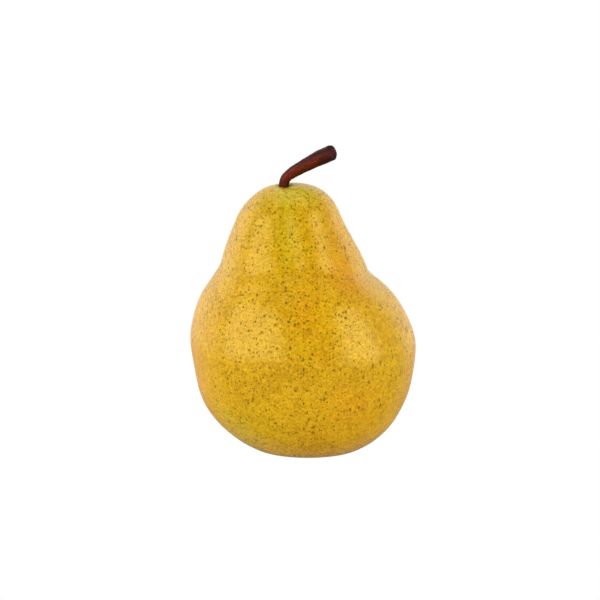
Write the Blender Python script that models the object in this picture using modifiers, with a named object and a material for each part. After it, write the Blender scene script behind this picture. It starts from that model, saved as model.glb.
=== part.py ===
"""A whole ripe pear, standing on the flat rim round its blossom end.

Metres, +Z up. X runs to the pear's right and -Y is its front. The origin is under the middle of
the pear's bounding box, on the surface that it stands on. A bearing is an angle in degrees round
the pear's own middle line, measured from its front towards its right side.

The pear has three pieces: the fruit itself, the woody stem set in a socket in its crown, and the
dried calyx in the hollow under it.
"""

import math

import bmesh
import bpy
from mathutils import Matrix, Vector

MM = 0.001
FIT_GAP = 0.3  # between two pieces that touch

# ---- driving dimensions, in millimetres

BODY_HEIGHT = 93.0
BELLY_RADIUS = 39.0
BELLY_HEIGHT = 38.8
NECK_RADIUS = 25.1  # at the crease where the neck meets the belly
NECK_HEIGHT = 64.7
FOOT_RADIUS = 15.0  # outer edge of the flat rim that it stands on
HOLLOW_RADIUS = 9.0  # inner edge of that rim
HOLLOW_DEPTH = 6.6

BELLY_OFFSET = 0.5  # how far the belly's middle stands to the right of the origin
CROWN_LEAN = 5.2  # how far the neck leans to the left of the belly
CROWN_RETURN = 0.9  # how far its very top comes back
FOOT_LEAN = 1.3  # how far the foot stands to the right of the belly
LOBE_RISE = 0.55  # five soft lobes run round the belly
FIRST_LOBE = 34.0  # the bearing of the one on the right in front

STEM_COLLAR = Vector((-6.1, -2.5, 92.4))  # where the stem leaves the skin
STEM_FOOT = Vector((-0.3, 0.1, -4.4))  # its buried end, from the collar
STEM_BASE_RADIUS = 1.7
STEM_TIP_RADIUS = 2.5
COLLAR_DIP = 0.5  # how far the skin sinks round the stem
COLLAR_DIP_RADIUS = 4.0

SEPALS = 5
SEPAL_REACH = 4.7  # from the calyx's middle to a sepal's tip
SEPAL_NOTCH = 0.25  # how much of that reach is left between two sepals

FRUIT_STEPS = 48
CALYX_STEPS = 50

# bearing, height, half-width in degrees, half-height and rise of each lump, or hollow, of the skin
LEFT_GROOVE = (-29.0, 48.0, 9.0, 14.0, -0.45)
NECK_RIDGE = (24.0, 70.0, 10.0, 16.0, 0.5)
RIGHT_CREASE = (92.0, 61.6, 36.0, 2.6, -1.3)
FRONT_FILL = (-2.0, 63.5, 48.0, 6.0, 1.0)
BACK_FILL = (176.0, 63.5, 50.0, 6.0, 0.8)
BACK_HOLLOW = (165.0, 46.0, 34.0, 22.0, -0.8)
BACK_SWELL = (-140.0, 44.0, 30.0, 16.0, 0.6)
LUMPS = (LEFT_GROOVE, NECK_RIDGE, RIGHT_CREASE, FRONT_FILL, BACK_FILL, BACK_HOLLOW, BACK_SWELL)

# the front valley slants: it starts left of the middle on the neck and ends right of it
VALLEY_BEARING = 3.0
VALLEY_SLANT = -0.35  # degrees for each millimetre up
VALLEY_HEIGHT = 60.0
VALLEY_HALF_WIDTH = 11.0
VALLEY_HALF_HEIGHT = 24.0
VALLEY_RISE = -0.9


# ---- curves and lumps that give the pear its shape


def smoothstep(low, high, value):
    share = min(max((value - low) / (high - low), 0.0), 1.0)
    return share * share * (3.0 - 2.0 * share)


def smooth_line(points, steps):
    """Points on a Catmull-Rom curve, with this many steps to a span.

    It runs from the second point to the last but one: the first and the last only steer its ends.
    """
    placed = []
    for before, start, end, after in zip(points, points[1:], points[2:], points[3:]):
        leaving = start + (end - before) / 6
        arriving = end - (after - start) / 6
        for step in range(steps):
            share = step / steps
            rest = 1.0 - share
            placed.append(
                rest**3 * start
                + 3 * rest**2 * share * leaving
                + 3 * rest * share**2 * arriving
                + share**3 * end
            )
    placed.append(points[-2])
    return placed


def middle_line(height):
    """How far the pear's middle stands to the right of the origin at this height."""
    lean = CROWN_LEAN * smoothstep(28.0, 84.0, height)
    back = CROWN_RETURN * smoothstep(80.0, 92.0, height)
    foot = FOOT_LEAN * (1.0 - smoothstep(0.0, 18.0, height))
    return BELLY_OFFSET + foot - lean + back


def lump(bearing, height, at_bearing, at_height, half_width, half_height, rise):
    """How far a lump, or a hollow if its rise is negative, moves the skin outwards here."""
    across = (bearing - at_bearing + 180.0) % 360.0 - 180.0
    up = height - at_height
    return rise * math.exp(-((across / half_width) ** 2) - (up / half_height) ** 2)


def relief(bearing, height):
    """How far the skin stands out from the turned shape."""
    on_belly = smoothstep(3.0, 22.0, height) * (1.0 - smoothstep(82.0, 92.0, height))
    lobes = LOBE_RISE * on_belly * math.cos(math.radians(5.0 * (bearing - FIRST_LOBE)))
    valley_bearing = VALLEY_BEARING + VALLEY_SLANT * (height - VALLEY_HEIGHT)
    valley = lump(
        bearing,
        height,
        valley_bearing,
        VALLEY_HEIGHT,
        VALLEY_HALF_WIDTH,
        VALLEY_HALF_HEIGHT,
        VALLEY_RISE,
    )
    return lobes + valley + sum(lump(bearing, height, *shape) for shape in LUMPS)


def grown(point):
    """Moves a point of the turned pear to where the real one has it."""
    radius = math.hypot(point.x, point.y)
    bearing = math.degrees(math.atan2(point.x, -point.y))
    risen = smoothstep(0.0, FOOT_RADIUS, radius) * relief(bearing, point.z)
    scale = (radius + risen) / radius if radius > 0.0 else 1.0
    place = Vector((point.x * scale + middle_line(point.z), point.y * scale, point.z))
    from_stem = (place - STEM_COLLAR).length / COLLAR_DIP_RADIUS
    place.z -= COLLAR_DIP * math.exp(-(from_stem**2))
    return place


# ---- making the objects


def clear_scene():
    for obj in list(bpy.data.objects):
        bpy.data.objects.remove(obj)


def new_collection(name):
    collection = bpy.data.collections.new(name)
    bpy.context.scene.collection.children.link(collection)
    return collection


def new_material(name, colour, roughness):
    material = bpy.data.materials.new(name)
    material.use_nodes = True
    shader = material.node_tree.nodes["Principled BSDF"]
    shader.inputs["Base Color"].default_value = (*colour, 1.0)
    shader.inputs["Roughness"].default_value = roughness
    shader.inputs["Metallic"].default_value = 0.0
    return material


def new_object(name, data, collection):
    obj = bpy.data.objects.new(name, data)
    collection.objects.link(obj)
    return obj


def turned(name, outline, steps, collection):
    """A solid turned round the Z axis from an outline of (radius, height)."""
    profile = bpy.data.meshes.new(name)
    corners = [(radius * MM, 0.0, height * MM) for radius, height in outline]
    edges = [(index, index + 1) for index in range(len(corners) - 1)]
    profile.from_pydata(corners, edges, [])
    obj = new_object(name, profile, collection)
    screw = obj.modifiers.new("turn", "SCREW")
    screw.axis = "Z"
    screw.angle = 2.0 * math.pi
    screw.steps = steps
    screw.render_steps = steps
    screw.use_merge_vertices = True
    screw.merge_threshold = 1e-6
    graph = bpy.context.evaluated_depsgraph_get()
    obj.data = bpy.data.meshes.new_from_object(obj.evaluated_get(graph))
    obj.modifiers.clear()
    return obj


def finish_surface(obj, crease_degrees, material):
    obj.data.shade_smooth()
    obj.data.set_sharp_from_angle(angle=math.radians(crease_degrees))
    obj.data.materials.clear()
    obj.data.materials.append(material)


def make_fruit(collection, cutters):
    """The fruit: skin line and hollow turned round, then given its lean and its lumps."""
    skin_line = [
        Vector((-6.0, BODY_HEIGHT - 0.7)),
        Vector((0.0, BODY_HEIGHT)),
        Vector((6.0, BODY_HEIGHT - 0.7)),
        Vector((11.0, BODY_HEIGHT - 2.9)),
        Vector((15.5, 85.5)),
        Vector((19.3, 77.9)),
        Vector((23.0, 70.0)),
        Vector((NECK_RADIUS, NECK_HEIGHT)),
        Vector((29.0, 59.6)),
        Vector((33.8, 53.4)),
        Vector((37.2, 46.2)),
        Vector((BELLY_RADIUS, BELLY_HEIGHT)),
        Vector((38.4, 30.5)),
        Vector((36.2, 19.5)),
        Vector((31.6, 11.2)),
        Vector((25.2, 4.9)),
        Vector((19.0, 1.1)),
        Vector((FOOT_RADIUS, 0.0)),
        Vector((11.0, -1.1)),
    ]
    hollow_line = [
        Vector((11.0, -0.6)),
        Vector((HOLLOW_RADIUS, 0.0)),
        Vector((7.2, 1.2)),
        Vector((6.2, 3.2)),
        Vector((4.8, 5.4)),
        Vector((2.6, HOLLOW_DEPTH - 0.2)),
        Vector((0.0, HOLLOW_DEPTH)),
        Vector((-2.6, HOLLOW_DEPTH - 0.2)),
    ]
    outline = smooth_line(skin_line, 3) + smooth_line(hollow_line, 2)
    fruit = turned("fruit", outline, FRUIT_STEPS, collection)
    for vertex in fruit.data.vertices:
        vertex.co = grown(vertex.co / MM) * MM
    cut = fruit.modifiers.new("stem socket", "BOOLEAN")
    cut.operation = "DIFFERENCE"
    cut.object = make_socket_cutter(cutters)
    finish_surface(fruit, 50.0, new_material("pear skin", (0.63, 0.34, 0.02), 0.35))
    return fruit


def make_socket_cutter(cutters):
    """A round rod along the stem's foot, from a gap below it to well outside the skin."""
    along = -STEM_FOOT.normalized()
    start = STEM_COLLAR + STEM_FOOT - along * FIT_GAP
    end = STEM_COLLAR + along * 4.0
    rod = bmesh.new()
    bmesh.ops.create_cone(
        rod,
        cap_ends=True,
        segments=16,
        radius1=(STEM_BASE_RADIUS + FIT_GAP) * MM,
        radius2=(STEM_BASE_RADIUS + FIT_GAP) * MM,
        depth=(end - start).length * MM,
    )
    mesh = bpy.data.meshes.new("stem socket cutter")
    rod.to_mesh(mesh)
    rod.free()
    cutter = new_object("stem socket cutter", mesh, cutters)
    turn = Vector((0.0, 0.0, 1.0)).rotation_difference(along)
    cutter.matrix_world = Matrix.Translation((start + end) / 2 * MM) @ turn.to_matrix().to_4x4()
    cutter.hide_render = True
    cutter.display_type = "WIRE"
    return cutter


def make_stem(collection, fruit):
    """The woody stem: upright at the crown, then bent over to the right and swelling to its tip."""
    route = [
        (STEM_FOOT, STEM_BASE_RADIUS),
        (Vector((0.0, 0.0, 0.0)), STEM_BASE_RADIUS),
        (Vector((0.1, -0.1, 1.5)), STEM_BASE_RADIUS),
        (Vector((0.9, -0.3, 2.8)), 1.75),
        (Vector((3.4, -0.8, 4.7)), 1.85),
        (Vector((7.0, -1.8, 6.9)), 2.1),
        (Vector((10.3, -2.9, 8.7)), 2.3),
        (Vector((13.7, -4.1, 10.4)), STEM_TIP_RADIUS),
        (Vector((15.7, -4.8, 11.2)), STEM_TIP_RADIUS),
        (Vector((16.6, -5.1, 11.5)), 0.9 * STEM_TIP_RADIUS),
        (Vector((16.9, -5.2, 11.6)), 0.6 * STEM_TIP_RADIUS),
    ]
    curve = bpy.data.curves.new("stem", "CURVE")
    curve.dimensions = "3D"
    curve.resolution_u = 4
    curve.bevel_depth = MM
    curve.bevel_resolution = 5
    curve.use_fill_caps = True
    spline = curve.splines.new("BEZIER")
    spline.bezier_points.add(len(route) - 1)
    for point, (place, radius) in zip(spline.bezier_points, route):
        point.co = place * MM
        point.radius = radius
        point.handle_left_type = "AUTO"
        point.handle_right_type = "AUTO"
    stem = new_object("stem", curve, collection)
    stem.location = STEM_COLLAR * MM
    stem.parent = fruit
    stem.data.materials.append(new_material("stem wood", (0.12, 0.03, 0.012), 0.5))
    return stem


def make_calyx(collection, fruit):
    """The dried flower cup under the fruit: a thin dish whose rim is cut into pointed sepals."""
    throat = Vector((2.7, HOLLOW_DEPTH - 1.3))
    outline = [
        Vector((0.0, HOLLOW_DEPTH - FIT_GAP)),
        Vector((2.2, HOLLOW_DEPTH - 0.7)),
        throat,
        Vector((3.7, 3.6)),
        Vector((SEPAL_REACH, 2.2)),
        Vector((SEPAL_REACH - 0.5, 1.9)),
        Vector((3.0, 3.3)),
        Vector((1.9, 4.9)),
        Vector((0.0, 5.2)),
    ]
    calyx = turned("calyx", outline, CALYX_STEPS, collection)
    for vertex in calyx.data.vertices:
        place = vertex.co / MM
        radius = math.hypot(place.x, place.y)
        if radius > throat.x:
            bearing = math.atan2(place.x, -place.y)
            pointed = abs(math.cos(bearing * SEPALS / 2)) ** 1.5
            reach = SEPAL_NOTCH + (1.0 - SEPAL_NOTCH) * pointed
            kept = (throat.x + (radius - throat.x) * reach) / radius
            place.x *= kept
            place.y *= kept
            place.z = throat.y + (place.z - throat.y) * reach
        vertex.co = place * MM
    calyx.location.x = middle_line(0.0) * MM
    calyx.parent = fruit
    finish_surface(calyx, 40.0, new_material("dry sepals", (0.07, 0.04, 0.02), 0.8))
    return calyx


clear_scene()
pear = new_collection("pear")
pear_fruit = make_fruit(pear, new_collection("cutters"))
make_stem(pear, pear_fruit)
make_calyx(pear, pear_fruit)
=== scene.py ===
"""The looks of a whole ripe pear that stands on the rim round its blossom end.

Metres, +Z up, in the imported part's own frame: X runs to the pear's right and -Y is its front.
Sizes below are in millimetres. A bearing is an angle in degrees round the pear's middle line,
measured from its front towards its right side.

The pieces are the fruit's skin, the woody stalk in its crown, and what is left of the flower in
the hollow under it: a cup, its sepals and its stamens.
"""

import math

import bmesh
import bpy
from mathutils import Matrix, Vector, noise


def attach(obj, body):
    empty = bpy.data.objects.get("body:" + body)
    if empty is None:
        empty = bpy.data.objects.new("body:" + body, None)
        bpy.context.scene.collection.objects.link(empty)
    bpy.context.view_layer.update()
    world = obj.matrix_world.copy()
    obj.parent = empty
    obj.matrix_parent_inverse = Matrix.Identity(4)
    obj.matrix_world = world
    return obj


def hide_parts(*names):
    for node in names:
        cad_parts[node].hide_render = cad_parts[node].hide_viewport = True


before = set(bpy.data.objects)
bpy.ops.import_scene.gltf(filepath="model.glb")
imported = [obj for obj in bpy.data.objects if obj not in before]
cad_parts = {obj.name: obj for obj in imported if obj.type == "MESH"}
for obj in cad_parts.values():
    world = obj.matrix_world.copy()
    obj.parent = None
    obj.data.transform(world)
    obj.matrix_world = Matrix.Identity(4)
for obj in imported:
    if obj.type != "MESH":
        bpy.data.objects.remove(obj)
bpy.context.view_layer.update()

MM = 0.001

# ---- the part's own driving dimensions, in millimetres

BODY_HEIGHT = 93.0
BELLY_RADIUS = 39.0
BELLY_HEIGHT = 38.8
NECK_RADIUS = 25.1
NECK_HEIGHT = 64.7
FOOT_RADIUS = 15.0
HOLLOW_RADIUS = 9.0
HOLLOW_DEPTH = 6.6

BELLY_OFFSET = 0.5
CROWN_LEAN = 5.2
CROWN_RETURN = 0.9
FOOT_LEAN = 1.3
LOBE_RISE = 0.55
FIRST_LOBE = 34.0

STEM_COLLAR = Vector((-6.1, -2.5, 92.4))
COLLAR_DIP = 0.5
COLLAR_DIP_RADIUS = 4.0

# bearing, height, half-width in degrees, half-height and rise of each lump, or hollow, of the skin.
# The left groove is a little deeper here than in the part.
LEFT_GROOVE = (-29.0, 48.0, 9.0, 14.0, -0.60)
NECK_RIDGE = (24.0, 70.0, 10.0, 16.0, 0.5)
RIGHT_CREASE = (92.0, 61.6, 36.0, 2.6, -1.3)
FRONT_FILL = (-2.0, 63.5, 48.0, 6.0, 1.0)
BACK_FILL = (176.0, 63.5, 50.0, 6.0, 0.8)
BACK_HOLLOW = (165.0, 46.0, 34.0, 22.0, -0.8)
BACK_SWELL = (-140.0, 44.0, 30.0, 16.0, 0.6)
LUMPS = (LEFT_GROOVE, NECK_RIDGE, RIGHT_CREASE, FRONT_FILL, BACK_FILL, BACK_HOLLOW, BACK_SWELL)

VALLEY_BEARING = 3.0
VALLEY_SLANT = -0.35
VALLEY_HEIGHT = 60.0
VALLEY_HALF_WIDTH = 11.0
VALLEY_HALF_HEIGHT = 24.0
VALLEY_RISE = -0.9

# ---- what the skin adds to that shape

AROUND = 320  # points round the fruit
WAVE_LENGTH = 13.0
WAVE_RISE = 0.10
RIPPLE_LENGTH = 4.5
RIPPLE_RISE = 0.025
LIP_RADIUS = 2.7  # the skin swells in a ring round the stalk
LIP_HALF_WIDTH = 0.9
LIP_RISE = 0.15
FRONT_DIP = Vector((-5.6, -4.4, 91.6))  # a shallow dent in front of the stalk
FRONT_DIP_RADIUS = 3.2
FRONT_DIP_DEPTH = 0.75
PUCKERS = 9  # folds that run out from the stalk
PUCKER_RISE = 0.10
PUCKER_REACH = 5.5

# ---- the tints of the skin: bearing, height, half-width in degrees, half-height and strength

GREEN_TINTS = (
    (20.0, 91.0, 60.0, 4.5, 0.85),
    (-20.0, 84.0, 30.0, 7.0, 0.25),
    (-45.0, 12.0, 26.0, 9.0, 0.45),
    (66.0, 33.0, 22.0, 14.0, 0.25),
    (-2.0, 77.0, 11.0, 13.0, 0.45),
    (150.0, 70.0, 40.0, 16.0, 0.35),
    (-120.0, 20.0, 40.0, 12.0, 0.35),
)
ORANGE_TINTS = (
    (40.0, 64.0, 16.0, 8.0, 0.8),
    (62.0, 76.0, 18.0, 12.0, 0.45),
    (4.0, 54.0, 8.0, 8.0, 0.55),
    (24.0, 22.0, 14.0, 6.0, 0.5),
    (-78.0, 30.0, 16.0, 22.0, 0.6),
    (78.0, 28.0, 16.0, 20.0, 0.55),
    (-150.0, 50.0, 24.0, 20.0, 0.5),
    (130.0, 34.0, 24.0, 14.0, 0.4),
)
SPARSE_PLACES = (
    (-72.0, 24.0, 16.0, 14.0, 0.8),
    (60.0, 10.0, 30.0, 8.0, 0.8),
    (-6.0, 94.0, 180.0, 3.0, 0.4),
)

# ---- the skin's colours, finish and dots

GOLD = (0.66, 0.355, 0.0010)
DEEP_GOLD = (0.58, 0.290, 0.0008)
PALE_GOLD = (0.76, 0.440, 0.0030)
LEAF_GREEN = (0.54, 0.45, 0.0080)
RIPE_ORANGE = (0.74, 0.290, 0.0020)
RUSSET = (0.19, 0.090, 0.0250)
OLIVE_DOT = (0.145, 0.122, 0.0006)
BROWN_DOT = (0.22, 0.085, 0.0006)
DARK_DOT = (0.060, 0.045, 0.0006)
# spacing, radius, share kept, strength, how far it keeps to the clusters, and upright squeeze
DOT_LAYERS = (
    (0.66, 0.25, 0.90, 0.45, 0.0, 0.8),
    (0.95, 0.35, 0.60, 0.85, 0.1, 1.0),
    (1.40, 0.42, 0.45, 1.00, 0.3, 0.6),
    (2.30, 0.54, 0.60, 1.00, 0.4, 1.0),
)
SPECKLE_DARK = (0.74, 0.71, 0.62)  # what the finest mottle multiplies the colour by
SPECKLE_LIGHT = (1.24, 1.27, 1.45)
BLOTCH_SIZE = 9.0
CLOUD_SIZE = 2.4
SPECKLE_SIZE = 0.7
CLUSTER_SIZE = 13.0  # of the crowds that some dots keep to
CRUST_SIZE = 0.9
SKIN_ROUGHNESS = (0.25, 0.32)
DOT_ROUGHNESS = 0.15  # what a dot, and the russet, add to that
RUSSET_ROUGHNESS = 0.35
SKIN_GLOSS = 1.0
DOT_GLOSS = 0.25
SKIN_GLOSS_TINT = (1.0, 0.86, 0.33, 1.0)
PORE_FINENESS = 1.1
SKIN_BUMP = 0.06
SKIN_BUMP_STRENGTH = 0.35

# ---- the stalk

STALK_AROUND = 56
STALK_ROUTE = (
    # place from the collar, and radius
    (-0.5, 0.1, -4.4, 1.7),
    (-0.3, -0.1, -0.6, 1.75),
    (0.0, -0.2, 1.3, 1.72),
    (0.9, -0.3, 2.8, 1.80),
    (3.4, -0.8, 4.65, 1.98),
    (7.0, -1.8, 6.75, 2.25),
    (10.3, -2.9, 8.5, 2.48),
    (13.7, -4.1, 10.2, 2.68),
    (15.8, -4.9, 11.1, 2.65),
)
STALK_TIP_TURN = Vector((0.0, -0.35, -0.1))  # the cut across its tip faces a little to the front
STALK_RIM = ((0.30, 0.97), (0.55, 0.88), (0.66, 0.75), (0.62, 0.58), (0.50, 0.38), (0.38, 0.18))
RIDGE_RISE = 0.05  # a share of the stalk's radius, as the next two are
FINE_RIDGE_RISE = 0.025
KNOB_RISE = 0.05
STALK_BROWN = (0.100, 0.0100, 0.0028)
STALK_RED = (0.190, 0.0180, 0.0034)
# the stalk's dark fibres, pores and foot, and also the painted shade on its edges and underside
STALK_DARK_AND_SHADE = (0.018, 0.0030, 0.0014)
STALK_PLUM = (0.048, 0.0080, 0.0070)
STALK_GLOSS = 0.28
STALK_GLOSS_TINT = (1.0, 0.48, 0.36, 1.0)
STALK_ROUGHNESS = (0.30, 0.46)
STALK_BUMP = 0.12
STALK_BUMP_STRENGTH = 0.6

# ---- what is left of the flower

SEPALS = 5
SEPAL_ROUTE = ((1.5, 5.7), (2.3, 5.0), (3.1, 4.1), (3.8, 3.1), (4.3, 2.4), (4.45, 2.05))
SEPAL_HALF_WIDTH = 1.25
SEPAL_THICKNESS = 0.18
CUP_PROFILE = (
    (0.6, 6.25),
    (1.5, 6.1),
    (2.2, 5.6),
    (2.6, 5.0),
    (2.55, 4.8),
    (2.3, 4.9),
    (1.9, 5.35),
    (1.2, 5.6),
    (0.5, 5.65),
)
STAMENS = 13
STAMEN_RADIUS = 0.09
STAMEN_LENGTH = 2.6
STAMEN_FOOT_HEIGHT = 5.75
SEPAL_BROWN = (0.085, 0.040, 0.0160)
SEPAL_DARK = (0.030, 0.014, 0.0060)
SEPAL_GREY = (0.16, 0.105, 0.0580)
SEPAL_BUMP = 0.1
SEPAL_BUMP_STRENGTH = 0.7

# ---- the camera and the light

CAMERA_DISTANCE = 580.0
CAMERA_ELEVATION = 8.0
CAMERA_LENS = 100.4
AIM = Vector((0.0, 0.0, 47.5))
CAMERA_RAISE = 4.77  # how far the camera stands above the line to its aim, and to the right
CAMERA_SIDESTEP = -0.87
SENSOR_WIDTH = 36.0

# upright soft boxes: azimuth in degrees, width, bottom and top in metres, radiance
LEFT_BOX = (-47.0, 1.35, -0.15, 1.15, 2.05)
RIGHT_BOX = (55.0, 1.08, -0.15, 1.15, 2.05)
LEFT_FILL = (-112.0, 1.6, -0.2, 1.2, 1.35)
RIGHT_FILL = (112.0, 1.6, -0.2, 1.2, 1.45)
BOX_DISTANCE = 1.0
TOP_BOX_SIZE = 0.9
TOP_BOX_HEIGHT = 1.1
TOP_BOX_RADIANCE = 1.0
ROOM_DIM = 0.05  # the room in front of the pear and beside it
WALL_BRIGHT = 0.75  # the white wall behind it
WALL_AZIMUTH = -165.0
WALL_STARTS = 0.30  # cosine of the angle from that azimuth where the wall begins, and is full
WALL_FULL = 0.50
FLOOR_CLEAR = 0.16  # metres from the pear where the floor starts to fade into the white, and ends
FLOOR_END = 0.45
FLOOR_GREY = (0.80, 0.80, 0.80, 1.0)
FLOOR_GLOW = 0.30
FLOOR_LET_THROUGH = 0.2  # the share of the light between pear and floor that the floor lets go
WHITE = (1.0, 1.0, 1.0, 1.0)

# ---- curves and lumps that give the pear its shape, as in the part


def smoothstep(low, high, value):
    share = min(max((value - low) / (high - low), 0.0), 1.0)
    return share * share * (3.0 - 2.0 * share)


def smooth_line(points, steps):
    """Points on a Catmull-Rom curve that runs from the second point to the last but one.

    Steps is how many a span has, or one number for each span.
    """
    spans = list(zip(points, points[1:], points[2:], points[3:]))
    counts = steps if hasattr(steps, "__len__") else [steps] * len(spans)
    placed = []
    for (before, start, end, after), count in zip(spans, counts):
        leaving = start + (end - before) / 6
        arriving = end - (after - start) / 6
        for step in range(count):
            share = step / count
            rest = 1.0 - share
            placed.append(
                rest**3 * start
                + 3 * rest**2 * share * leaving
                + 3 * rest * share**2 * arriving
                + share**3 * end
            )
    placed.append(points[-2])
    return placed


def middle_line(height):
    """How far the pear's middle stands to the right of the origin at this height."""
    lean = CROWN_LEAN * smoothstep(28.0, 84.0, height)
    back = CROWN_RETURN * smoothstep(80.0, 92.0, height)
    foot = FOOT_LEAN * (1.0 - smoothstep(0.0, 18.0, height))
    return BELLY_OFFSET + foot - lean + back


def lump(bearing, height, at_bearing, at_height, half_width, half_height, rise):
    """A soft round patch: its full rise in the middle, and next to nothing past its half-width."""
    across = (bearing - at_bearing + 180.0) % 360.0 - 180.0
    up = height - at_height
    return rise * math.exp(-((across / half_width) ** 2) - (up / half_height) ** 2)


def lumps(bearing, height, shapes):
    return sum(lump(bearing, height, *shape) for shape in shapes)


def relief(bearing, height):
    """How far the skin stands out from the turned shape."""
    on_belly = smoothstep(3.0, 22.0, height) * (1.0 - smoothstep(82.0, 92.0, height))
    lobes = LOBE_RISE * on_belly * math.cos(math.radians(5.0 * (bearing - FIRST_LOBE)))
    valley_bearing = VALLEY_BEARING + VALLEY_SLANT * (height - VALLEY_HEIGHT)
    valley = lump(
        bearing,
        height,
        valley_bearing,
        VALLEY_HEIGHT,
        VALLEY_HALF_WIDTH,
        VALLEY_HALF_HEIGHT,
        VALLEY_RISE,
    )
    return lobes + valley + lumps(bearing, height, LUMPS)


def bearing_of(point):
    return math.degrees(math.atan2(point.x, -point.y))


def grown(point):
    """Moves a point of the turned pear to where the real one has it."""
    radius = math.hypot(point.x, point.y)
    risen = smoothstep(0.0, FOOT_RADIUS, radius) * relief(bearing_of(point), point.z)
    scale = (radius + risen) / radius if radius > 0.0 else 1.0
    place = Vector((point.x * scale + middle_line(point.z), point.y * scale, point.z))
    from_stem = (place - STEM_COLLAR).length / COLLAR_DIP_RADIUS
    place.z -= COLLAR_DIP * math.exp(-(from_stem**2))
    return place


# ---- fine relief of the skin


def waves(place):
    """Soft uneven growth: long low waves with smaller ripples on them."""
    long_ones = WAVE_RISE * noise.noise(place / WAVE_LENGTH)
    short_ones = RIPPLE_RISE * noise.noise(place / RIPPLE_LENGTH)
    return long_ones + short_ones


def collar(place):
    """The lip and the puckers of the skin round the stalk."""
    away = place - STEM_COLLAR
    reach = math.hypot(away.x, away.y)
    lip = LIP_RISE * math.exp(-(((reach - LIP_RADIUS) / LIP_HALF_WIDTH) ** 2))
    turn = math.atan2(away.y, away.x)
    uneven = 1.0 + 0.35 * math.sin(turn * 2.0 + 0.7) + 0.2 * math.sin(turn * 5.0)
    folds = PUCKER_RISE * math.cos(PUCKERS * turn + 1.3 * math.sin(turn))
    folds *= math.exp(-((reach / PUCKER_REACH) ** 2)) * smoothstep(1.0, 3.0, reach)
    near_top = smoothstep(84.0, 88.0, place.z)
    in_front = (place - FRONT_DIP).length / FRONT_DIP_RADIUS
    return near_top * (lip * uneven + folds - FRONT_DIP_DEPTH * math.exp(-(in_front**2)))


# ---- making the objects


def new_object(name, data):
    obj = bpy.data.objects.new(name, data)
    bpy.context.scene.collection.objects.link(obj)
    return obj


def mesh_from_rings(name, rings, first_cap=None, last_cap=None):
    """A skin over rings of points, closed at either end by a point where one is given."""
    count = len(rings[0])
    points = [point for ring in rings for point in ring]
    faces = []
    for lower in range(len(rings) - 1):
        for step in range(count):
            after = (step + 1) % count
            here = lower * count
            faces.append((here + step, here + after, here + count + after, here + count + step))
    for cap, start, turned_over in ((first_cap, 0, False), (last_cap, len(points) - count, True)):
        if cap is None:
            continue
        tip = len(points)
        points.append(cap)
        for step in range(count):
            edge = (start + step, start + (step + 1) % count)
            faces.append((tip, *(edge if turned_over else edge[::-1])))
    mesh = bpy.data.meshes.new(name)
    mesh.from_pydata([point * MM for point in points], [], faces)
    mesh.shade_smooth()
    return mesh


def add_values(mesh, name, values):
    """Keeps one number for each point, for the material to read."""
    attribute = mesh.attributes.new(name, "FLOAT", "POINT")
    attribute.data.foreach_set("value", values)


def add_vectors(mesh, name, vectors):
    attribute = mesh.attributes.new(name, "FLOAT_VECTOR", "POINT")
    attribute.data.foreach_set("vector", [part for vector in vectors for part in vector])


def fruit_outline():
    skin_line = [
        Vector((-6.0, BODY_HEIGHT - 0.7)),
        Vector((0.0, BODY_HEIGHT)),
        Vector((6.0, BODY_HEIGHT - 0.7)),
        Vector((11.0, BODY_HEIGHT - 2.9)),
        Vector((15.5, 85.5)),
        Vector((19.3, 77.9)),
        Vector((23.0, 70.0)),
        Vector((NECK_RADIUS, NECK_HEIGHT)),
        Vector((29.0, 59.6)),
        Vector((33.8, 53.4)),
        Vector((37.2, 46.2)),
        Vector((BELLY_RADIUS, BELLY_HEIGHT)),
        Vector((38.4, 30.5)),
        Vector((36.2, 19.5)),
        Vector((31.6, 11.2)),
        Vector((25.2, 4.9)),
        Vector((19.0, 1.1)),
        Vector((FOOT_RADIUS, 0.0)),
        Vector((11.0, -1.1)),
    ]
    hollow_line = [
        Vector((11.0, -0.6)),
        Vector((HOLLOW_RADIUS, 0.0)),
        Vector((7.2, 1.2)),
        Vector((6.2, 3.2)),
        Vector((4.8, 5.4)),
        Vector((2.6, HOLLOW_DEPTH - 0.2)),
        Vector((0.0, HOLLOW_DEPTH)),
        Vector((-2.6, HOLLOW_DEPTH - 0.2)),
    ]
    crown_steps = [26, 16]
    skin_steps = crown_steps + [8] * (len(skin_line) - 3 - len(crown_steps))
    rim = [Vector((radius, 0.0)) for radius in (14.0, 13.0, 12.0, 11.0, 10.0)]
    return smooth_line(skin_line, skin_steps) + rim + smooth_line(hollow_line, 5)


def make_fruit():
    """The fruit's skin: the part's own form with the fine relief of a grown thing."""
    outline = fruit_outline()
    rings = []
    for radius, height in reversed(outline[1:-1]):
        ring = []
        for step in range(AROUND):
            turn = 2.0 * math.pi * step / AROUND
            ring.append(Vector((radius * math.sin(turn), -radius * math.cos(turn), height)))
        rings.append(ring)
    turned = [point for ring in rings for point in ring]
    low_end = Vector((0.0, 0.0, HOLLOW_DEPTH))
    high_end = Vector((0.0, 0.0, BODY_HEIGHT))
    mesh = mesh_from_rings("fruit_skin", rings, low_end, high_end)
    turned += [low_end, high_end]
    mesh.vertices.foreach_set(
        "co", [part * MM for point in turned for part in with_relief(point)]
    )
    mesh.update()
    return new_object("fruit_skin", mesh), turned


def with_relief(point):
    place = grown(point)
    radius = math.hypot(point.x, point.y)
    above_rim = smoothstep(0.5, 8.0, point.z) * smoothstep(0.0, 20.0, radius)
    outwards = Vector((point.x, point.y, 0.0)).normalized() if radius > 0.0 else Vector()
    place += outwards * above_rim * waves(place)
    place.z += collar(place)
    return place


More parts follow.
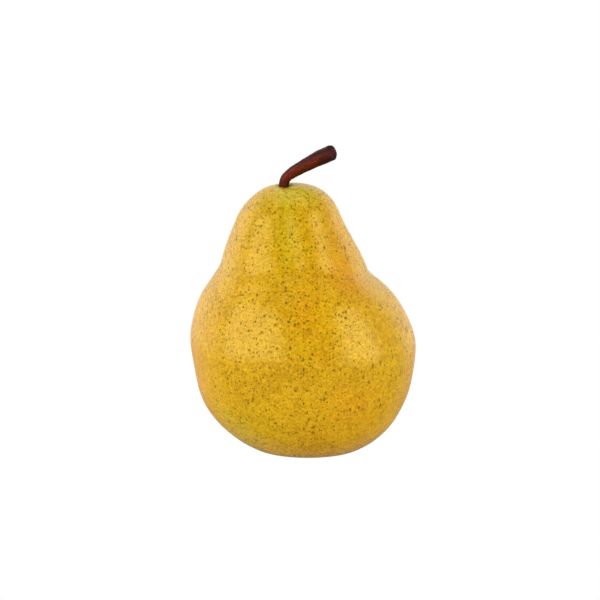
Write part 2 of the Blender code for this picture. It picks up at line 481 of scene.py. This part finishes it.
def paint_zones(mesh, turned):
    """Where the skin is greener, more orange, sparser in dots, or russet."""
    green, orange, sparse, russet = [], [], [], []
    for point in turned:
        bearing = bearing_of(point)
        radius = math.hypot(point.x, point.y)
        green.append(lumps(bearing, point.z, GREEN_TINTS))
        orange.append(lumps(bearing, point.z, ORANGE_TINTS))
        sparse.append(lumps(bearing, point.z, SPARSE_PLACES))
        in_hollow = (1.0 - smoothstep(6.5, 10.0, radius)) * (1.0 - smoothstep(6.0, 9.0, point.z))
        place = grown(point)
        from_stem = (place - STEM_COLLAR).length
        russet.append(in_hollow + 0.8 * (1.0 - smoothstep(1.8, 3.6, from_stem)))
    add_values(mesh, "green_tint", green)
    add_values(mesh, "orange_tint", orange)
    add_values(mesh, "few_dots", sparse)
    add_values(mesh, "russet", russet)


def sweep(knots, around, bulge=None):
    """Rings along a line of (place, radius) knots, and for each point its straightened place."""
    rings, grain = [], []
    along = 0.0
    side = Vector((0.0, -1.0, 0.0))
    for index, knot in enumerate(knots):
        before, after = knots[max(index - 1, 0)], knots[min(index + 1, len(knots) - 1)]
        ahead = (after - before).xyz.normalized()
        along += (knot - before).xyz.length
        side = (side - ahead * side.dot(ahead)).normalized()
        other_side = ahead.cross(side)
        ring = []
        for step in range(around):
            turn = 2.0 * math.pi * step / around
            flat = Vector((math.cos(turn), math.sin(turn), 0.0))
            radius = knot.w * (1.0 + (bulge(flat, along) if bulge else 0.0))
            ring.append(knot.xyz + (side * flat.x + other_side * flat.y) * radius)
            grain.append(flat * knot.w + Vector((0.0, 0.0, along)))
        rings.append(ring)
    return rings, grain, ahead


def bark(flat, along):
    """The stalk's ridges, fine ridges and knobs, as a share of its radius."""
    ridges = RIDGE_RISE * noise.noise((flat + Vector((0.0, 0.0, along * 0.16))) * 2.6)
    fine = FINE_RIDGE_RISE * noise.noise((flat + Vector((0.0, 0.0, along * 0.12))) * 6.0)
    knobs = KNOB_RISE * noise.noise(flat + Vector((3.0, 0.0, along * 0.45)))
    return ridges + fine + knobs


def make_stalk():
    """The woody stalk: ridged along its length, with a blunt rounded tip that was cut across."""
    knots = [Vector(knot) for knot in STALK_ROUTE]
    guides = [2 * knots[0] - knots[1], *knots, 2 * knots[-1] - knots[-2]]
    spine = smooth_line(guides, 10)
    rings, grain, ahead = sweep(spine, STALK_AROUND, bark)
    centre = spine[-1].xyz
    face_way = (ahead + STALK_TIP_TURN).normalized()
    rim, rim_grain = rings[-1], grain[-STALK_AROUND:]
    for out, share in STALK_RIM:
        ring = []
        for point in rim:
            across = point - centre
            across -= face_way * across.dot(face_way) * min(1.0, 4.0 * out)
            ring.append(centre + across * share + face_way * out)
        rings.append(ring)
        grain += [Vector((g.x * share, g.y * share, g.z + out)) for g in rim_grain]
    grain += [Vector((0.0, 0.0, 0.0)), Vector((0.0, 0.0, rim_grain[0].z))]
    ends = (spine[0].xyz, centre + face_way * STALK_RIM[-1][0] * 0.8)
    rings = [[point + STEM_COLLAR for point in ring] for ring in rings]
    mesh = mesh_from_rings("stalk", rings, *(end + STEM_COLLAR for end in ends))
    add_vectors(mesh, "grain", grain)
    return new_object("stalk", mesh)


def calyx_middle():
    return Vector((middle_line(0.0), 0.0, 0.0))


def make_sepals():
    """Five dried, curled sepals that point out and down from the flower cup."""
    line = [Vector(point) for point in SEPAL_ROUTE]
    line = smooth_line([2 * line[0] - line[1], *line, 2 * line[-1] - line[-2]], 4)
    across_steps = 9
    points, faces, grain = [], [], []
    for sepal in range(SEPALS):
        bearing = math.radians(360.0 / SEPALS * (sepal + 0.5) + 9.0 * math.sin(2.3 * sepal))
        out = Vector((math.sin(bearing), -math.cos(bearing), 0.0))
        side = Vector((out.y, -out.x, 0.0))
        first = len(points)
        for row, (radius, height) in enumerate(line):
            share = row / (len(line) - 1)
            half = SEPAL_HALF_WIDTH * (1.0 - share**2.2) ** 0.8 * (0.72 + 0.6 * share) + 0.03
            for column in range(across_steps):
                edge = 2.0 * column / (across_steps - 1) - 1.0
                curl = 0.5 * edge * edge * half
                flat = Vector((edge * half, share * 5.0, sepal * 7.0))
                wrinkle = 0.22 * noise.noise(Vector((flat.x * 2.0, flat.y * 0.5, flat.z)))
                twist = 0.25 * share * edge * math.sin(1.7 * sepal)
                place = out * (radius - 0.5 * curl) + side * edge * half
                place.z = height + curl + wrinkle + twist
                points.append(calyx_middle() + place)
                grain.append(flat)
        for row in range(len(line) - 1):
            for column in range(across_steps - 1):
                here = first + row * across_steps + column
                faces.append((here, here + 1, here + across_steps + 1, here + across_steps))
    mesh = bpy.data.meshes.new("sepals")
    mesh.from_pydata([point * MM for point in points], [], faces)
    mesh.shade_smooth()
    add_vectors(mesh, "grain", grain)
    sepals = new_object("sepals", mesh)
    thicken = sepals.modifiers.new("thickness", "SOLIDIFY")
    thicken.thickness = SEPAL_THICKNESS * MM
    thicken.offset = 0.0
    return sepals


def make_flower_cup():
    """The shrunken cup that the sepals and the stamens grow from."""
    around = 60
    rings, grain = [], []
    for radius, height in smooth_line(
        [Vector(point) for point in (CUP_PROFILE[0], *CUP_PROFILE, CUP_PROFILE[-1])], 3
    ):
        ring = []
        for step in range(around):
            turn = 2.0 * math.pi * step / around
            flat = Vector((math.sin(turn), -math.cos(turn), 0.0))
            uneven = 1.0 + 0.10 * noise.noise(flat * 2.5 + Vector((0.0, 0.0, height)))
            ring.append(calyx_middle() + flat * radius * uneven + Vector((0.0, 0.0, height)))
            grain.append(Vector((turn * 2.0, height, radius)))
        rings.append(ring)
    ceiling = calyx_middle() + Vector((0.0, 0.0, CUP_PROFILE[0][1]))
    floor = calyx_middle() + Vector((0.0, 0.0, CUP_PROFILE[-1][1]))
    mesh = mesh_from_rings("flower_cup", rings[::-1], floor, ceiling)
    add_vectors(mesh, "grain", grain[::-1] + [Vector(), Vector()])
    return new_object("flower_cup", mesh)


def make_stamens():
    """Thin withered threads in the cup, each with a small club at its end."""
    mesh = bmesh.new()
    for stamen in range(STAMENS):
        bearing = stamen * 2.4
        foot = Vector((math.sin(bearing), -math.cos(bearing), 0.0))
        foot *= 0.5 + 0.9 * (stamen % 3) / 2
        bend = noise.noise_vector(Vector((stamen * 3.7, 1.3, 0.4)))
        knots = []
        for step in range(9):
            share = step / 8
            place = foot * (1.0 + 0.5 * share) + bend * 0.9 * share * share
            place.z = STAMEN_FOOT_HEIGHT - STAMEN_LENGTH * share * (0.8 + 0.2 * bend.z)
            club = 1.0 + 1.4 * smoothstep(0.8, 0.95, share) - 1.2 * smoothstep(0.95, 1.0, share)
            knots.append((calyx_middle() + place).to_4d())
            knots[-1].w = STAMEN_RADIUS * club
        rings, *_ = sweep(knots, 7)
        thread = mesh_from_rings("thread", rings, knots[0].xyz, knots[-1].xyz)
        mesh.from_mesh(thread)
        bpy.data.meshes.remove(thread)
    threads = bpy.data.meshes.new("stamens")
    mesh.to_mesh(threads)
    mesh.free()
    threads.shade_smooth()
    return new_object("stamens", threads)


# ---- wiring materials


class Wiring:
    """Adds nodes to one node tree, and feeds each input a value or another node's output."""

    def __init__(self, tree):
        self.tree = tree

    def node(self, kind, **settings):
        node = self.tree.nodes.new(kind)
        for name, value in settings.items():
            setattr(node, name, value)
        return node

    def feed(self, socket, value):
        if isinstance(value, bpy.types.NodeSocket):
            self.tree.links.new(value, socket)
        else:
            socket.default_value = value

    def maths(self, operation, *values):
        node = self.node("ShaderNodeMath", operation=operation)
        for socket, value in zip(node.inputs, values):
            self.feed(socket, value)
        return node.outputs["Value"]

    def vector_maths(self, operation, *values):
        node = self.node("ShaderNodeVectorMath", operation=operation)
        for socket, value in zip(node.inputs, values):
            self.feed(socket, value)
        return node.outputs["Vector"]

    def scaled(self, vector, factor):
        node = self.node("ShaderNodeVectorMath", operation="SCALE")
        self.feed(node.inputs["Vector"], vector)
        self.feed(node.inputs["Scale"], factor)
        return node.outputs["Vector"]

    def blend(self, share, low, high, kind="MIX"):
        node = self.node("ShaderNodeMix", data_type="RGBA", blend_type=kind)
        self.feed(node.inputs["Factor"], share)
        # a mix of colours has its two colours at these places, after those of its other kinds
        for socket, value in ((node.inputs[6], low), (node.inputs[7], high)):
            self.feed(socket, (*value, 1.0) if isinstance(value, tuple) else value)
        return node.outputs[2]

    def ranged(self, value, low, high, new_low=0.0, new_high=1.0):
        node = self.node("ShaderNodeMapRange", interpolation_type="SMOOTHSTEP")
        for socket, number in zip(node.inputs, (value, low, high, new_low, new_high)):
            self.feed(socket, number)
        return node.outputs["Result"]

    def noise(self, vector, scale, detail=2.0, roughness=0.5):
        node = self.node("ShaderNodeTexNoise")
        self.feed(node.inputs["Vector"], vector)
        self.feed(node.inputs["Scale"], scale)
        self.feed(node.inputs["Detail"], detail)
        self.feed(node.inputs["Roughness"], roughness)
        return node

    def bump(self, shader, height, distance, strength):
        """Roughens a shader by this height. The distance is in millimetres."""
        node = self.node("ShaderNodeBump")
        node.inputs["Strength"].default_value = strength
        node.inputs["Distance"].default_value = distance * MM
        self.feed(node.inputs["Height"], height)
        self.feed(shader.inputs["Normal"], node.outputs["Normal"])

    def attribute(self, name):
        return self.node("ShaderNodeAttribute", attribute_name=name)

    def group(self, tree, **values):
        """Places a node group. Values are named as its inputs, with _ for a space."""
        node = self.node("ShaderNodeGroup", node_tree=tree)
        for name, value in values.items():
            self.feed(node.inputs[name.replace("_", " ")], value)
        return node.outputs


def new_group(name, inputs, outputs):
    """An empty node group with named inputs and outputs, and its wiring."""
    tree = bpy.data.node_groups.new(name, "ShaderNodeTree")
    for socket, kind, value in inputs:
        made = tree.interface.new_socket(socket, in_out="INPUT", socket_type=kind)
        if value is not None:
            made.default_value = value
    for socket, kind in outputs:
        tree.interface.new_socket(socket, in_out="OUTPUT", socket_type=kind)
    wires = Wiring(tree)
    given = wires.node("NodeGroupInput").outputs
    put_out = wires.node("NodeGroupOutput").inputs
    return tree, wires, given, put_out


def flecks_group():
    """Round flecks strewn at random, each with a size and a tone of its own."""
    tree, wires, given, put_out = new_group(
        "flecks",
        [
            ("Place", "NodeSocketVector", None),
            ("Spacing", "NodeSocketFloat", 1.0),
            ("Radius", "NodeSocketFloat", 0.25),
            ("Share", "NodeSocketFloat", 0.5),
            ("Raggedness", "NodeSocketFloat", 0.1),
        ],
        [("Mask", "NodeSocketFloat"), ("Tone", "NodeSocketFloat")],
    )
    ragged = wires.noise(given["Place"], 1.7, 1.0).outputs["Color"]
    ragged = wires.vector_maths("SUBTRACT", ragged, (0.5, 0.5, 0.5))
    ragged = wires.scaled(ragged, given["Raggedness"])
    place = wires.vector_maths("ADD", given["Place"], ragged)
    cells = wires.node("ShaderNodeTexVoronoi", voronoi_dimensions="3D", feature="F1")
    wires.feed(cells.inputs["Vector"], place)
    wires.feed(cells.inputs["Scale"], wires.maths("DIVIDE", 1.0, given["Spacing"]))
    chance = wires.node("ShaderNodeSeparateColor")
    wires.feed(chance.inputs["Color"], cells.outputs["Color"])
    away = wires.maths("MULTIPLY", cells.outputs["Distance"], given["Spacing"])
    size = wires.maths("MULTIPLY_ADD", chance.outputs["Green"], 0.8, 0.45)
    size = wires.maths("MULTIPLY", size, given["Radius"])
    kept = wires.maths("LESS_THAN", chance.outputs["Red"], given["Share"])
    spot = wires.ranged(away, size, wires.maths("MULTIPLY", size, 0.65))
    wires.feed(put_out["Mask"], wires.maths("MULTIPLY", spot, kept))
    wires.feed(put_out["Tone"], chance.outputs["Blue"])
    return tree


def mottle_group():
    """Soft uneven patches of one size."""
    tree, wires, given, put_out = new_group(
        "mottle",
        [
            ("Place", "NodeSocketVector", None),
            ("Size", "NodeSocketFloat", 5.0),
            ("Low", "NodeSocketFloat", 0.35),
            ("High", "NodeSocketFloat", 0.65),
        ],
        [("Mask", "NodeSocketFloat")],
    )
    scale = wires.maths("DIVIDE", 1.0, given["Size"])
    patches = wires.noise(given["Place"], scale, 3.0, 0.55).outputs["Fac"]
    wires.feed(put_out["Mask"], wires.ranged(patches, given["Low"], given["High"]))
    return tree


def streaks_group():
    """Streaks that run along the third part of a straightened place."""
    tree, wires, given, put_out = new_group(
        "streaks",
        [
            ("Grain", "NodeSocketVector", None),
            ("Width", "NodeSocketFloat", 0.4),
            ("Length", "NodeSocketFloat", 5.0),
            ("Low", "NodeSocketFloat", 0.35),
            ("High", "NodeSocketFloat", 0.65),
        ],
        [("Mask", "NodeSocketFloat")],
    )
    across = wires.maths("DIVIDE", 1.0, given["Width"])
    along = wires.maths("DIVIDE", 1.0, given["Length"])
    stretch = wires.node("ShaderNodeCombineXYZ")
    for axis, value in (("X", across), ("Y", across), ("Z", along)):
        wires.feed(stretch.inputs[axis], value)
    place = wires.vector_maths("MULTIPLY", given["Grain"], stretch.outputs["Vector"])
    fibres = wires.noise(place, 1.0, 3.0, 0.6).outputs["Fac"]
    wires.feed(put_out["Mask"], wires.ranged(fibres, given["Low"], given["High"]))
    return tree


def new_material(name, roughness, specular=0.5):
    material = bpy.data.materials.new(name)
    material.use_nodes = True
    shader = material.node_tree.nodes["Principled BSDF"]
    shader.inputs["Roughness"].default_value = roughness
    shader.inputs["Specular IOR Level"].default_value = specular
    return material, Wiring(material.node_tree), shader


def place_in_mm(wires):
    return wires.scaled(wires.node("ShaderNodeTexCoord").outputs["Object"], 1.0 / MM)


def make_skin_material(flecks, mottle):
    """Ripe yellow skin: mottled gold with green and orange tints, strewn with breathing dots."""
    material, wires, shader = new_material("ripe_pear_skin", SKIN_ROUGHNESS[0], SKIN_GLOSS)
    shader.inputs["Specular Tint"].default_value = SKIN_GLOSS_TINT
    place = place_in_mm(wires)
    blotches = wires.group(mottle, Place=place, Size=BLOTCH_SIZE, Low=0.35, High=0.65)["Mask"]
    cloud = wires.group(mottle, Place=place, Size=CLOUD_SIZE, Low=0.3, High=0.7)["Mask"]
    colour = wires.blend(blotches, GOLD, DEEP_GOLD)
    colour = wires.blend(wires.maths("MULTIPLY", cloud, 0.45), colour, PALE_GOLD)
    for name, tint in (("green_tint", LEAF_GREEN), ("orange_tint", RIPE_ORANGE)):
        share = wires.maths("MULTIPLY", wires.attribute(name).outputs["Fac"], 0.9)
        patchy = wires.maths("MULTIPLY_ADD", cloud, 0.5, 0.6)
        colour = wires.blend(wires.maths("MULTIPLY", share, patchy), colour, tint)
    speckle = wires.group(mottle, Place=place, Size=SPECKLE_SIZE, Low=0.25, High=0.75)["Mask"]
    light_and_dark = wires.blend(speckle, SPECKLE_DARK, SPECKLE_LIGHT)
    colour = wires.blend(1.0, colour, light_and_dark, "MULTIPLY")
    clusters = wires.group(mottle, Place=place, Size=CLUSTER_SIZE, Low=0.42, High=0.66)["Mask"]
    crowd = wires.maths("SUBTRACT", 1.0, wires.attribute("few_dots").outputs["Fac"])
    raised = 0.0
    for spacing, radius, share, strength, clustered, squeeze in DOT_LAYERS:
        offset = wires.vector_maths("ADD", place, (spacing * 7.0, 0.0, 0.0))
        offset = wires.vector_maths("MULTIPLY", offset, (1.0, 1.0, squeeze))
        dots = wires.group(
            flecks, Place=offset, Spacing=spacing, Radius=radius, Share=share, Raggedness=0.5
        )
        tone = wires.blend(wires.ranged(dots["Tone"], 0.2, 0.45), BROWN_DOT, OLIVE_DOT)
        dark = wires.ranged(dots["Tone"], 0.85, 0.9)
        tone = wires.blend(dark, tone, DARK_DOT)
        kept = wires.maths("MULTIPLY_ADD", clusters, clustered, 1.0 - clustered)
        kept = wires.maths("MULTIPLY", wires.maths("MULTIPLY", kept, crowd), strength)
        mask = wires.maths("MULTIPLY", dots["Mask"], kept)
        colour = wires.blend(mask, colour, tone)
        raised = wires.maths("ADD", raised, mask)
    russet = wires.attribute("russet").outputs["Fac"]
    crust = wires.group(mottle, Place=place, Size=CRUST_SIZE, Low=0.3, High=0.7)["Mask"]
    russet = wires.maths("MULTIPLY", russet, wires.maths("MULTIPLY_ADD", crust, 0.6, 0.4))
    colour = wires.blend(russet, colour, RUSSET)
    wires.feed(shader.inputs["Base Color"], colour)
    rough = wires.ranged(cloud, 0.0, 1.0, *SKIN_ROUGHNESS)
    rough = wires.maths("MULTIPLY_ADD", raised, DOT_ROUGHNESS, rough)
    rough = wires.maths("MULTIPLY_ADD", russet, RUSSET_ROUGHNESS, rough)
    wires.feed(shader.inputs["Roughness"], rough)
    gloss = wires.ranged(raised, 0.0, 1.0, SKIN_GLOSS, DOT_GLOSS)
    wires.feed(shader.inputs["Specular IOR Level"], gloss)
    pores = wires.noise(place, PORE_FINENESS).outputs["Fac"]
    height = wires.maths("MULTIPLY_ADD", raised, 0.12, pores)
    height = wires.maths("MULTIPLY_ADD", wires.maths("MULTIPLY", crust, russet), 1.5, height)
    wires.bump(shader, height, SKIN_BUMP, SKIN_BUMP_STRENGTH)
    return material


def make_stalk_material(flecks, mottle, streaks):
    """Red-brown wood: dark fibres along it, redder at the bend and plum at its cut tip, with
    painted shade darkening its upper and lower edges and its underside.

    The first two parts of grain are the place across the stalk, with Y pointing away from its
    upper side, and the third is how far along it the place is.
    """
    material, wires, shader = new_material("stalk_wood", STALK_ROUGHNESS[1], STALK_GLOSS)
    shader.inputs["Specular Tint"].default_value = STALK_GLOSS_TINT
    grain = wires.attribute("grain").outputs["Vector"]
    parts = wires.node("ShaderNodeSeparateXYZ")
    wires.feed(parts.inputs["Vector"], grain)
    across, along = parts.outputs["Y"], parts.outputs["Z"]
    broad = wires.group(streaks, Grain=grain, Width=0.9, Length=7.0, Low=0.38, High=0.62)["Mask"]
    fine = wires.group(streaks, Grain=grain, Width=0.28, Length=3.0, Low=0.42, High=0.66)["Mask"]
    colour = wires.blend(broad, STALK_BROWN, STALK_RED)
    bend = wires.maths("MULTIPLY", wires.ranged(along, 5.5, 8.0), wires.ranged(along, 14.0, 9.5))
    colour = wires.blend(wires.maths("MULTIPLY", bend, 0.6), colour, STALK_RED)
    foot = wires.ranged(along, 7.5, 5.0)
    colour = wires.blend(wires.maths("MULTIPLY", foot, 0.6), colour, STALK_DARK_AND_SHADE)
    tip = wires.ranged(along, 19.5, 22.5)
    colour = wires.blend(wires.maths("MULTIPLY", tip, 0.85), colour, STALK_PLUM)
    colour = wires.blend(wires.maths("MULTIPLY", fine, 0.55), colour, STALK_DARK_AND_SHADE)
    # painted shade: the stalk's upper and lower edges are darkened as if turned away from the light
    edge = wires.ranged(wires.maths("ABSOLUTE", across), 0.8, 2.0)
    colour = wires.blend(wires.maths("MULTIPLY", edge, 0.85), colour, STALK_DARK_AND_SHADE)
    # painted shade: the underside of the stalk is darkened as if it were out of the light
    painted_underside_shade = wires.ranged(across, 0.3, 1.7)
    colour = wires.blend(wires.maths("MULTIPLY", painted_underside_shade, 0.75), colour, STALK_DARK_AND_SHADE)
    pores = wires.group(flecks, Place=grain, Spacing=0.9, Radius=0.2, Share=0.5, Raggedness=0.3)
    colour = wires.blend(wires.maths("MULTIPLY", pores["Mask"], 0.5), colour, STALK_DARK_AND_SHADE)
    wires.feed(shader.inputs["Base Color"], colour)
    wear = wires.group(mottle, Place=grain, Size=1.6, Low=0.3, High=0.7)["Mask"]
    wires.feed(shader.inputs["Roughness"], wires.ranged(wear, 0.0, 1.0, *STALK_ROUGHNESS))
    height = wires.maths("MULTIPLY_ADD", fine, -0.5, wires.maths("MULTIPLY", wear, 0.3))
    height = wires.maths("MULTIPLY_ADD", pores["Mask"], -0.4, height)
    wires.bump(shader, height, STALK_BUMP, STALK_BUMP_STRENGTH)
    return material


def make_sepal_material(flecks, mottle, streaks):
    """Dead, dry leaf: brown with darker veins and a grey bloom."""
    material, wires, shader = new_material("dried_flower", 0.85, 0.25)
    place = place_in_mm(wires)
    grain = wires.attribute("grain").outputs["Vector"]
    veins = wires.group(streaks, Grain=grain, Width=0.25, Length=0.6, Low=0.4, High=0.62)["Mask"]
    bloom = wires.group(mottle, Place=place, Size=0.9, Low=0.4, High=0.7)["Mask"]
    colour = wires.blend(veins, SEPAL_BROWN, SEPAL_DARK)
    colour = wires.blend(wires.maths("MULTIPLY", bloom, 0.6), colour, SEPAL_GREY)
    dust = wires.group(flecks, Place=place, Spacing=0.5, Radius=0.12, Share=0.5, Raggedness=0.2)
    colour = wires.blend(wires.maths("MULTIPLY", dust["Mask"], 0.6), colour, SEPAL_DARK)
    wires.feed(shader.inputs["Base Color"], colour)
    wires.feed(shader.inputs["Roughness"], wires.ranged(bloom, 0.0, 1.0, 0.75, 0.95))
    height = wires.maths("SUBTRACT", bloom, veins)
    wires.bump(shader, height, SEPAL_BUMP, SEPAL_BUMP_STRENGTH)
    return material


# ---- the studio


def direction(azimuth, elevation):
    """A unit vector from the pear towards this place. Azimuth 0 is in front, 90 to the right."""
    around, above = math.radians(azimuth), math.radians(elevation)
    level = math.cos(above)
    return Vector((math.sin(around) * level, -math.cos(around) * level, math.sin(above)))


def make_camera():
    camera = bpy.data.cameras.new("camera")
    camera.lens = CAMERA_LENS
    camera.sensor_width = SENSOR_WIDTH
    camera.clip_start = 0.01
    obj = new_object("camera", camera)
    back = direction(0.0, CAMERA_ELEVATION)
    tilt = math.radians(CAMERA_ELEVATION)
    up = Vector((0.0, math.sin(tilt), math.cos(tilt)))
    place = AIM + back * CAMERA_DISTANCE + up * CAMERA_RAISE
    place.x += CAMERA_SIDESTEP
    obj.location = place * MM
    obj.rotation_euler = (math.radians(90.0 - CAMERA_ELEVATION), 0.0, 0.0)
    bpy.context.scene.camera = obj


def make_area_light(name, width, height, radiance, place, facing):
    light = bpy.data.lights.new(name, "AREA")
    light.shape = "RECTANGLE"
    light.size = width
    light.size_y = height
    light.energy = radiance * math.pi * width * height
    obj = new_object(name, light)
    obj.location = place
    obj.rotation_euler = facing.to_track_quat("-Z", "Y").to_euler()
    obj.visible_camera = False
    return obj


def make_upright_box(name, azimuth, width, bottom, top, radiance):
    """A soft box that stands upright round the pear and faces it level."""
    way = direction(azimuth, 0.0)
    place = way * BOX_DISTANCE + Vector((0.0, 0.0, (bottom + top) / 2))
    return make_area_light(name, width, top - bottom, radiance, place, -way)


def make_lights():
    """Two soft boxes that gloss the front, a dimmer one overhead, and two fills without gloss."""
    make_upright_box("left_soft_box", *LEFT_BOX)
    make_upright_box("right_soft_box", *RIGHT_BOX)
    make_upright_box("left_fill", *LEFT_FILL).visible_glossy = False
    make_upright_box("right_fill", *RIGHT_FILL).visible_glossy = False
    overhead = Vector((0.0, 0.0, TOP_BOX_HEIGHT))
    down = Vector((0.0, 0.0, -1.0))
    make_area_light("top_box", TOP_BOX_SIZE, TOP_BOX_SIZE, TOP_BOX_RADIANCE, overhead, down)


def make_room():
    """White to the camera; round the pear, a dim room with a bright wall at its back."""
    world = bpy.data.worlds.new("studio")
    bpy.context.scene.world = world
    world.use_nodes = True
    wires = Wiring(world.node_tree)
    world.node_tree.nodes.clear()
    way = wires.node("ShaderNodeTexCoord").outputs["Generated"]
    towards = wires.node("ShaderNodeVectorMath", operation="DOT_PRODUCT")
    wires.feed(towards.inputs[0], way)
    wires.feed(towards.inputs[1], direction(WALL_AZIMUTH, 0.0))
    wall = wires.ranged(towards.outputs["Value"], WALL_STARTS, WALL_FULL, 0.0, WALL_BRIGHT)
    height = wires.node("ShaderNodeSeparateXYZ")
    wires.feed(height.inputs["Vector"], way)
    wall = wires.maths("MULTIPLY", wall, wires.ranged(height.outputs["Z"], -0.35, 0.0, 0.25, 1.0))
    wall = wires.maths("ADD", wall, ROOM_DIM)
    seen = wires.node("ShaderNodeLightPath").outputs["Is Camera Ray"]
    strength = wires.node("ShaderNodeMix", data_type="FLOAT")
    wires.feed(strength.inputs[0], seen)
    wires.feed(strength.inputs[2], wall)
    strength.inputs[3].default_value = 1.0
    background = wires.node("ShaderNodeBackground")
    background.inputs["Color"].default_value = WHITE
    wires.feed(background.inputs["Strength"], strength.outputs[0])
    output = wires.node("ShaderNodeOutputWorld")
    wires.feed(output.inputs["Surface"], background.outputs["Background"])


def make_floor():
    """A pale disc that only bounces light onto the pear, so nothing shows round or under it."""
    disc = bmesh.new()
    bmesh.ops.create_circle(disc, cap_ends=True, segments=96, radius=FLOOR_END)
    mesh = bpy.data.meshes.new("floor")
    disc.to_mesh(mesh)
    disc.free()
    floor = new_object("floor", mesh)
    material, wires, shader = new_material("pale_floor", 0.9, 0.0)
    shader.inputs["Base Color"].default_value = FLOOR_GREY
    shader.inputs["Emission Color"].default_value = WHITE
    shader.inputs["Emission Strength"].default_value = FLOOR_GLOW
    away = wires.node("ShaderNodeVectorMath", operation="LENGTH")
    wires.feed(away.inputs[0], wires.node("ShaderNodeTexCoord").outputs["Object"])
    faded = wires.ranged(away.outputs["Value"], FLOOR_CLEAR, FLOOR_END)
    below = wires.node("ShaderNodeNewGeometry").outputs["Backfacing"]
    mix = wires.node("ShaderNodeMixShader")
    bounced = wires.node("ShaderNodeLightPath").outputs["Is Diffuse Ray"]
    let_through = wires.maths("MULTIPLY", bounced, FLOOR_LET_THROUGH)
    missing = wires.maths("MAXIMUM", wires.maths("MAXIMUM", faded, below), let_through)
    wires.feed(mix.inputs["Fac"], missing)
    wires.feed(mix.inputs[1], shader.outputs["BSDF"])
    wires.feed(mix.inputs[2], wires.node("ShaderNodeBsdfTransparent").outputs["BSDF"])
    output = material.node_tree.nodes["Material Output"]
    wires.feed(output.inputs["Surface"], mix.outputs["Shader"])
    mesh.materials.append(material)
    floor.visible_camera = False
    floor.visible_glossy = False
    floor.visible_shadow = False


# ---- putting it together


def place_piece(obj, material, slot, *nodes):
    obj.data.materials.append(material)
    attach(obj, "root")
    if nodes:
        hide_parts(*nodes)


make_camera()
make_room()
make_lights()
make_floor()
bpy.context.scene.view_settings.view_transform = "Standard"

flecks, mottle, streaks = flecks_group(), mottle_group(), streaks_group()
dried = make_sepal_material(flecks, mottle, streaks)
fruit, turned_points = make_fruit()
paint_zones(fruit.data, turned_points)
place_piece(fruit, make_skin_material(flecks, mottle), "pear_skin", "fruit")
place_piece(make_stalk(), make_stalk_material(flecks, mottle, streaks), "stem_wood", "stem")
place_piece(make_sepals(), dried, "dry_sepals", "calyx")
place_piece(make_flower_cup(), dried, "dry_sepals")
place_piece(make_stamens(), dried, "dry_sepals")
